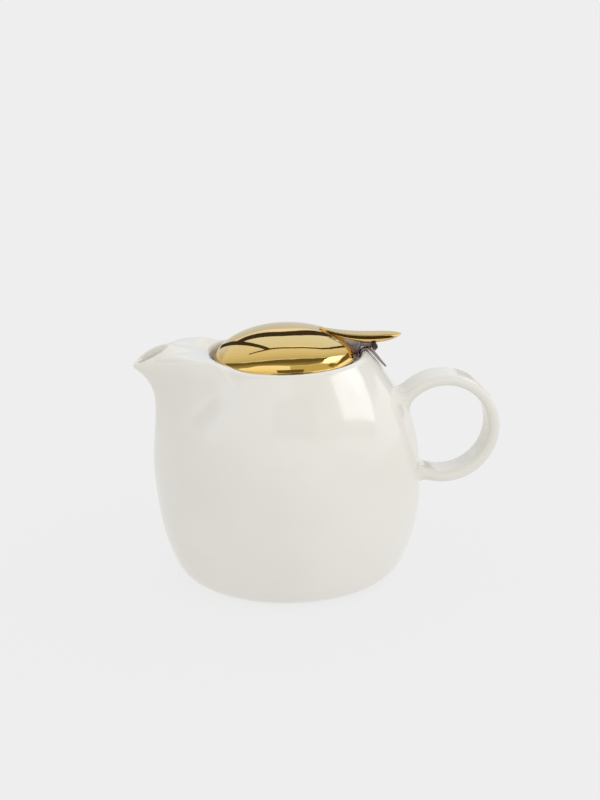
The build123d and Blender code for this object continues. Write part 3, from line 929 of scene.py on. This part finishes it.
def make_ears():
    """Two lobes that stand on the clip and hold the pin."""
    b = Builder()
    lobe = []
    for degrees in range(200, -60, -20):
        angle = math.radians(degrees)
        lobe.append((PIN_X + EAR_R * math.cos(angle), PIN_Z + EAR_R * math.sin(angle)))
    lobe += EAR_FOOT
    for side in (-1, 1):
        rings = []
        for y, grow in EAR_SECTION:
            ring = []
            for x, z in lobe:
                swell_x = (x - EAR_MIDDLE_X) * grow * EAR_SWELL
                swell_z = (z - EAR_MIDDLE_Z) * grow * EAR_SWELL
                ring.append((x + swell_x, side * y, z + swell_z))
            rings.append(b.add(ring))
        b.bridge(rings, flip=side > 0)
        b.cap(rings[0], (EAR_MIDDLE_X, side * EAR_SECTION[0][0], EAR_MIDDLE_Z), flip=side < 0)
        b.cap(rings[-1], (EAR_MIDDLE_X, side * EAR_SECTION[-1][0], EAR_MIDDLE_Z), flip=side > 0)
    b.piece("pin_ears", "clip", CLIP_STEEL, ("clip_ears",), levels=1)


WIRE_R = 0.75
WIRE_BEVEL = 0.15
BALL_R = 1.45
BALL_Y = 5.3
# Where a ball's neck closes on the wire: radius, distance from the middle
BALL_NECK = ((0.78, 3.98), (0, 3.97))


def make_pin():
    half = PIN_HIGH[1]
    wire = ((0, half), (WIRE_R - WIRE_BEVEL, half), (WIRE_R, half - WIRE_BEVEL), (WIRE_R, 0.0),
            (WIRE_R, WIRE_BEVEL - half), (WIRE_R - WIRE_BEVEL, -half), (0, -half))
    b = Builder()
    b.turn(wire, 24, lambda x, z, along: (PIN_X + x, along, PIN_Z + z))
    b.piece("hinge_wire", "clip", PIN_STEEL, ("hinge_pin",))
    b = Builder()
    ball = []
    for degrees in range(0, 160, 15):
        angle = math.radians(degrees)
        ball.append((BALL_R * math.sin(angle), BALL_Y + BALL_R * math.cos(angle)))
    ball += BALL_NECK
    b.turn(ball, 28, lambda x, z, along: (PIN_X + x, -along, PIN_Z + z), flip=True)
    b.turn(ball, 28, lambda x, z, along: (PIN_X + x, along, PIN_Z + z))
    b.piece("wire_ends", "clip", BALL_STEEL, ("pin_balls",), levels=1)


# -------- basket

BASKET_R = WALL_HIGH[1]
BASKET_T = 0.5
BASKET_COLUMNS = 72
BASKET_MARGIN = 3.5
BASKET_FOOT = 1.2
HOLE_R = 0.62
HOLE_SIDES = 8


def make_basket_wall():
    """Tube with a regular grid of round holes: each cell is a square with an eight-sided hole."""
    b = Builder()
    columns = 2 * BASKET_COLUMNS
    pitch = 2 * math.pi * BASKET_R / BASKET_COLUMNS
    low, high = WALL_LOW[2], WALL_HIGH[2]
    cells = int((high - low - 2 * BASKET_MARGIN) / pitch)
    first = high - BASKET_MARGIN - cells * pitch
    heights = [low, low + BASKET_FOOT] + [first + pitch * k / 2 for k in range(2 * cells + 1)] + [high]
    outside, inside = [], []
    for shell, r in ((outside, BASKET_R), (inside, BASKET_R - BASKET_T)):
        for z in heights:
            shell.append(b.add([(r * math.cos(a), r * math.sin(a), z) for a in circle(columns)]))
    for shell, flip in ((outside, False), (inside, True)):
        for k in (0, 1, len(heights) - 2):
            b.bridge(shell[k:k + 2], flip)
    b.bridge((inside[0], outside[0]))
    b.bridge((outside[-1], inside[-1]))
    for row in range(cells):
        bottom, centre, top = 2 + 2 * row, 3 + 2 * row, 4 + 2 * row
        for cell in range(BASKET_COLUMNS):
            i, j, k = 2 * cell, 2 * cell + 1, (2 * cell + 2) % columns
            turn = 2 * math.pi * j / columns
            holes = []
            for shell, r, flip in ((outside, BASKET_R, True), (inside, BASKET_R - BASKET_T, False)):
                edge = [shell[bottom][i], shell[bottom][j], shell[bottom][k], shell[centre][k],
                        shell[top][k], shell[top][j], shell[top][i], shell[centre][i]]
                corners = []
                for n in range(HOLE_SIDES):
                    angle = math.radians(225 + 45 * n)
                    a = turn + HOLE_R * math.cos(angle) / BASKET_R
                    z = heights[centre] + HOLE_R * math.sin(angle)
                    corners.append((r * math.cos(a), r * math.sin(a), z))
                holes.append(b.add(corners))
                b.bridge((holes[-1], edge), flip)
            b.bridge(holes)
    wall = b.piece("basket_wall", "infuser", INFUSER_STEEL, ("infuser_wall",))
    wall.data.polygons.foreach_set("use_smooth", [False] * len(wall.data.polygons))


KEPT_NODES = (("lid_liner", BRIGHT_STEEL), ("infuser_floor", FLOOR_STEEL), ("infuser_rim", INFUSER_STEEL))
for node, material in KEPT_NODES:
    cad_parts[node].data.materials.clear()
    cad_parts[node].data.materials.append(material)

POT = make_pot()
HANDLE = make_handle()
make_dome()
make_lever()
make_lug()
make_clip()
make_ears()
make_pin()
make_basket_wall()


# -------- floor, light and camera


def glow_material(name, colour, added):
    """Plain light; with added, light in front of whatever lies behind the card."""
    material = bpy.data.materials.new(name)
    material.use_nodes = True
    nodes, links = material.node_tree.nodes, material.node_tree.links
    nodes.clear()
    output = nodes.new("ShaderNodeOutputMaterial")
    glow = nodes.new("ShaderNodeEmission")
    glow.inputs["Color"].default_value = (*colour, 1)
    surface = glow.outputs["Emission"]
    if added:
        clear = nodes.new("ShaderNodeBsdfTransparent")
        both = nodes.new("ShaderNodeAddShader")
        links.new(clear.outputs["BSDF"], both.inputs[0])
        links.new(surface, both.inputs[1])
        surface = both.outputs["Shader"]
    links.new(surface, output.inputs["Surface"])
    return material


# What the polished lid mirrors: panels of a pale studio tent with dark poles, seen only in reflections.
# Their places are degrees from the zenith, x towards +X and y towards +Y, round the lid's middle.
LID_MIDDLE = Vector((0.0, 0.0, LID_EDGE_Z * MM))
# Distances of the layers from there, in metres; a fill lies a little nearer than the card that it covers
FAR, MIDDLE, NEAR, NEAREST = 1.46, 1.42, 1.38, 1.30
FILL_GAP = 0.02
PANEL_CELLS = 14
BANDS_PER_COLOUR = 3

PORCELAIN = bpy.data.collections.new("porcelain")
PORCELAIN.objects.link(POT)
PORCELAIN.objects.link(HANDLE)
POT_ALONE = bpy.data.collections.new("pot_alone")
POT_ALONE.objects.link(POT)

ROOM = ((-50, -58), (0, -60), (50, -56), (78, -38)), ((-56, -84), (0, -86), (60, -80), (88, -48))
# Name, distance, the two lines that the panel spans, and its colours from the first line to the second
PANELS = (
    ("tent_back", FAR, ((-24, 70), (-20, 90), (-6, 106)), ((30, 70), (24, 90), (14, 106)),
     ((0.66, 0.74, 0.86), (0.70, 0.78, 0.95))),
    ("tent_left", FAR, ((-66, 55), (-52, 80), (-20, 104)), ((-24, 50), (-22, 75), (-10, 98)),
     ((0.50, 0.54, 0.50), (0.62, 0.70, 0.75), (0.80, 0.90, 1.2))),
    ("tent_right", FAR, ((26, 58), (30, 80), (16, 104)), ((76, 50), (60, 80), (34, 104)),
     ((0.42, 0.40, 0.45), (0.30, 0.30, 0.34), (0.16, 0.15, 0.16))),
    ("tent_top", FAR, ((-24, 60), (-22, 50), (-14, 30), (30, 30), (42, 50), (46, 62)),
     ((-20, 62), (-5, 61), (8, 59), (22, 62), (30, 62), (40, 64)), ((0.84, 0.96, 1.2), (0.90, 1.02, 1.4))),
    ("tent_front", FAR,
     ((-66, 50), (-58, 30), (-44, 14), (-20, 3), (6, 0), (30, 5), (44, 16), (56, 40), (54, 60)),
     ((-24, 62), (-22, 50), (-12, 32), (0, 28), (10, 27), (22, 28), (32, 33), (40, 48), (42, 62)),
     ((0.60, 0.62, 0.55), (0.82, 0.84, 0.85), (0.88, 0.95, 1.15))),
    ("dark_band", MIDDLE,
     ((-70, 52), (-62, 42), (-54, 25), (-42, 11), (-22, 1.5), (6, -1), (30, 4), (42, 14)),
     ((-72, 4), (-60, 0), (-48, -7), (-36, -7), (-22, -12), (2, -20), (24, -18), (36, -9)),
     ((0.17, 0.14, 0.07), (0.13, 0.12, 0.06), (0.26, 0.24, 0.16), (0.44, 0.42, 0.32))),
    ("bright_band", MIDDLE, ((-74, 0), (-60, -2), (-48, -8), (-36, -8), (-22, -13), (2, -21)),
     ((-70, -22), (-56, -36), (-44, -46), (-30, -54), (-10, -58), (2, -58)),
     ((1.15, 1.25, 1.5), (1.10, 1.12, 1.1), (1.0, 0.92, 0.75), (0.8, 0.74, 0.5))),
    ("ochre_band", MIDDLE, ((2, -21), (24, -19), (36, -10), (52, -4), (76, -4)),
     ((2, -60), (20, -58), (40, -50), (60, -34), (76, -20)), ((0.62, 0.62, 0.45), (0.66, 0.60, 0.36))),
    ("dark_side", MIDDLE, ((48, 62), (52, 50), (55, 36), (56, 22), (60, 8), (62, -16)),
     ((54, 62), (60, 50), (65, 36), (67, 20), (68, 8), (68, -14)), ((0.14, 0.12, 0.10), (0.2, 0.17, 0.12))),
    ("brown_side", NEAR, ((50, -2), (50, -12)), ((64, 4), (64, -18)),
     ((0.22, 0.19, 0.09), (0.26, 0.22, 0.12))),
    ("dark_front", NEAR, ((-17, -34), (-6, -36), (8, -35), (21, -35)),
     ((-20, -52), (-6, -56), (8, -56), (22, -54)),
     ((0.17, 0.14, 0.06), (0.14, 0.11, 0.04))),
    ("window", NEAR, ((38, 3), (41, 12), (47, 21), (53, 30)), ((40, -6), (48, -1), (53, 7), (55.5, 19)),
     ((3.4, 3.4, 3.4),)),
    ("dark_room", NEAR, *ROOM, ((0.05, 0.042, 0.036),)),
)
# Brings the dark cards back up to a pale studio where the porcelain mirrors them
ROOM_FILL = (0.92, 0.92, 0.92)
POLE_FILL = (0.85, 0.85, 0.85)
# Window that shines on the pot's shoulder
PANES = ((39.3, -14.5), (58.0, 24.3), (70.5, -1.6), (47.7, -29.7))
PANES_TONE = (3.2, 3.2, 3.2)
# Poles: name and path of (x, y, width)
POLE_TONE = (0.05, 0.042, 0.04)
POLES = (
    ("pole_left", ((-3, 104, 5), (-10, 98, 6), (-16, 91, 6), (-19.5, 82, 6), (-20.5, 72, 6.5), (-20, 64, 6.5),
                   (-18.5, 54, 6), (-15, 43, 5), (-11.5, 34, 4.5), (-9, 27, 4))),
    ("pole_cross", ((-20, 62, 9), (-12, 62, 10), (-2, 60, 11), (5, 58, 11), (12, 59, 11.5), (18, 61.5, 11.5),
                    (26, 65, 10))),
    ("pole_right", ((13, 105, 3), (20, 93, 3.5), (24, 82, 4), (25, 72, 6), (27, 62, 6))),
    ("hoop", ((-26, 26.5, 2), (-16, 26, 2.5), (-6, 27, 3), (8, 25.3, 2.6), (20, 26.5, 2.8), (29, 28.5, 3.2),
              (35, 34, 3.4), (40, 44, 3.4), (42.8, 54, 3.2), (42, 64, 3))),
)


def sky_point(x, y, reach):
    tilt = math.radians(math.hypot(x, y))
    turn = math.atan2(x, y)
    way = Vector((math.sin(tilt) * math.sin(turn), math.sin(tilt) * math.cos(turn), math.cos(tilt)))
    return LID_MIDDLE + way * reach


def reflection_card(name, quads, colour, reach, only_for=None):
    """Glowing card seen only in reflections; only_for limits it to a collection and adds its light."""
    mesh = bpy.data.meshes.new(name)
    points = [sky_point(x, y, reach) for quad in quads for x, y in quad]
    faces = [tuple(range(4 * i, 4 * i + 4)) for i in range(len(quads))]
    mesh.from_pydata(points, [], faces)
    mesh.materials.append(glow_material(name, colour, added=only_for is not None))
    card = bpy.data.objects.new(name, mesh)
    if only_for:
        card.light_linking.receiver_collection = only_for
    bpy.context.scene.collection.objects.link(card)
    for ray in ("camera", "diffuse", "transmission", "volume_scatter", "shadow"):
        setattr(card, "visible_" + ray, False)


def cloth_panel(name, reach, line_a, line_b, colours, only_for=None):
    """Panel between two lines, shaded in bands from colours[0] beside line_a to the last beside line_b."""
    edge_a = evenly(line_a, PANEL_CELLS + 1)
    edge_b = evenly(line_b, PANEL_CELLS + 1)
    steps = len(colours) - 1
    bands = BANDS_PER_COLOUR * steps or 1
    for band in range(bands):
        low, high = band / bands, (band + 1) / bands
        middle = (low + high) / 2 * steps
        first = min(int(middle), max(0, steps - 1))
        share = middle - first
        colour = [(1 - share) * a + share * b for a, b in zip(colours[first], colours[min(first + 1, steps)])]
        inner = edge_a + (edge_b - edge_a) * low
        outer = edge_a + (edge_b - edge_a) * high
        quads = [(inner[i], inner[i + 1], outer[i + 1], outer[i]) for i in range(PANEL_CELLS)]
        reflection_card(f"{name}_{band}", quads, colour, reach, only_for)


def pole(name, path):
    """Dark strip along its path, with its fill for the porcelain."""
    path = np.asarray(path, float)
    along = np.gradient(path[:, :2], axis=0)
    along /= np.linalg.norm(along, axis=1)[:, None]
    across = np.stack([-along[:, 1], along[:, 0]], axis=1) * path[:, 2:] / 2
    left, right = path[:, :2] + across, path[:, :2] - across
    quads = [(left[i], left[i + 1], right[i + 1], right[i]) for i in range(len(path) - 1)]
    reflection_card(name, quads, POLE_TONE, NEAR)
    reflection_card(name + "_fill", quads, POLE_FILL, NEAR - FILL_GAP, only_for=PORCELAIN)


def make_reflections():
    for panel in PANELS:
        cloth_panel(*panel)
    cloth_panel("dark_room_fill", NEAR - FILL_GAP, *ROOM, (ROOM_FILL,), only_for=PORCELAIN)
    reflection_card("window_on_pot", [PANES], PANES_TONE, NEAREST, only_for=POT_ALONE)
    for name, path in POLES:
        pole(name, path)


# The floor is a dark grey that glows, so that it is an even pale ground with only faint shadows
FLOOR_HALF = 30.0
FLOOR_GREY = 0.09
FLOOR_GLOW = 0.765
# Strength of the studio's light from -X and from +X
LIGHT_LEFT = 0.76
LIGHT_RIGHT = 1.27


def make_floor():
    mesh = bpy.data.meshes.new("floor")
    corners = [(FLOOR_HALF * x, FLOOR_HALF * y, 0) for x, y in ((-1, -1), (1, -1), (1, 1), (-1, 1))]
    mesh.from_pydata(corners, [], [(0, 1, 2, 3)])
    look = Look("floor_paint")
    look.shader.inputs["Roughness"].default_value = 0.9
    look.shader.inputs["Specular IOR Level"].default_value = 0.0
    look.shader.inputs["Base Color"].default_value = (FLOOR_GREY, FLOOR_GREY, FLOOR_GREY, 1)
    look.shader.inputs["Emission Color"].default_value = (1, 1, 1, 1)
    look.shader.inputs["Emission Strength"].default_value = FLOOR_GLOW
    mesh.materials.append(look.material)
    floor = bpy.data.objects.new("floor", mesh)
    bpy.context.scene.collection.objects.link(floor)


def make_world():
    world = bpy.data.worlds.new("studio")
    world.use_nodes = True
    nodes, links = world.node_tree.nodes, world.node_tree.links
    background = nodes["Background"]
    background.inputs["Color"].default_value = (1, 1, 1, 1)
    sideways = axes(nodes, links, "Generated")["X"]
    light = map_range(nodes, links, sideways, LIGHT_LEFT, LIGHT_RIGHT, -1.0, 1.0)
    links.new(light, background.inputs["Strength"])
    bpy.context.scene.world = world
    bpy.context.scene.view_settings.view_transform = "Standard"


CAMERA_AZIMUTH = -7.0
CAMERA_ELEVATION = 17.5
CAMERA_ROLL = 1.15
CAMERA_TARGET = Vector((6.4, 0.0, 86.3)) * MM
CAMERA_DISTANCE = 1.0
CAMERA_LENS = 93.75
SENSOR_WIDTH = 36.0


def make_camera():
    azimuth = math.radians(CAMERA_AZIMUTH)
    elevation = math.radians(CAMERA_ELEVATION)
    level = math.cos(elevation)
    back = Vector((math.sin(azimuth) * level, -math.cos(azimuth) * level, math.sin(elevation)))
    right = Vector((0, 0, 1)).cross(back).normalized()
    up = back.cross(right)
    roll = math.radians(CAMERA_ROLL)
    tilted_right = right * math.cos(roll) - up * math.sin(roll)
    tilted_up = up * math.cos(roll) + right * math.sin(roll)
    data = bpy.data.cameras.new("camera")
    data.lens = CAMERA_LENS
    data.sensor_width = SENSOR_WIDTH
    camera = bpy.data.objects.new("camera", data)
    rotation = Matrix((tilted_right, tilted_up, back)).transposed().to_4x4()
    camera.matrix_world = Matrix.Translation(CAMERA_TARGET + back * CAMERA_DISTANCE) @ rotation
    bpy.context.scene.collection.objects.link(camera)
    bpy.context.scene.camera = camera


make_floor()
make_reflections()
make_world()
make_camera()
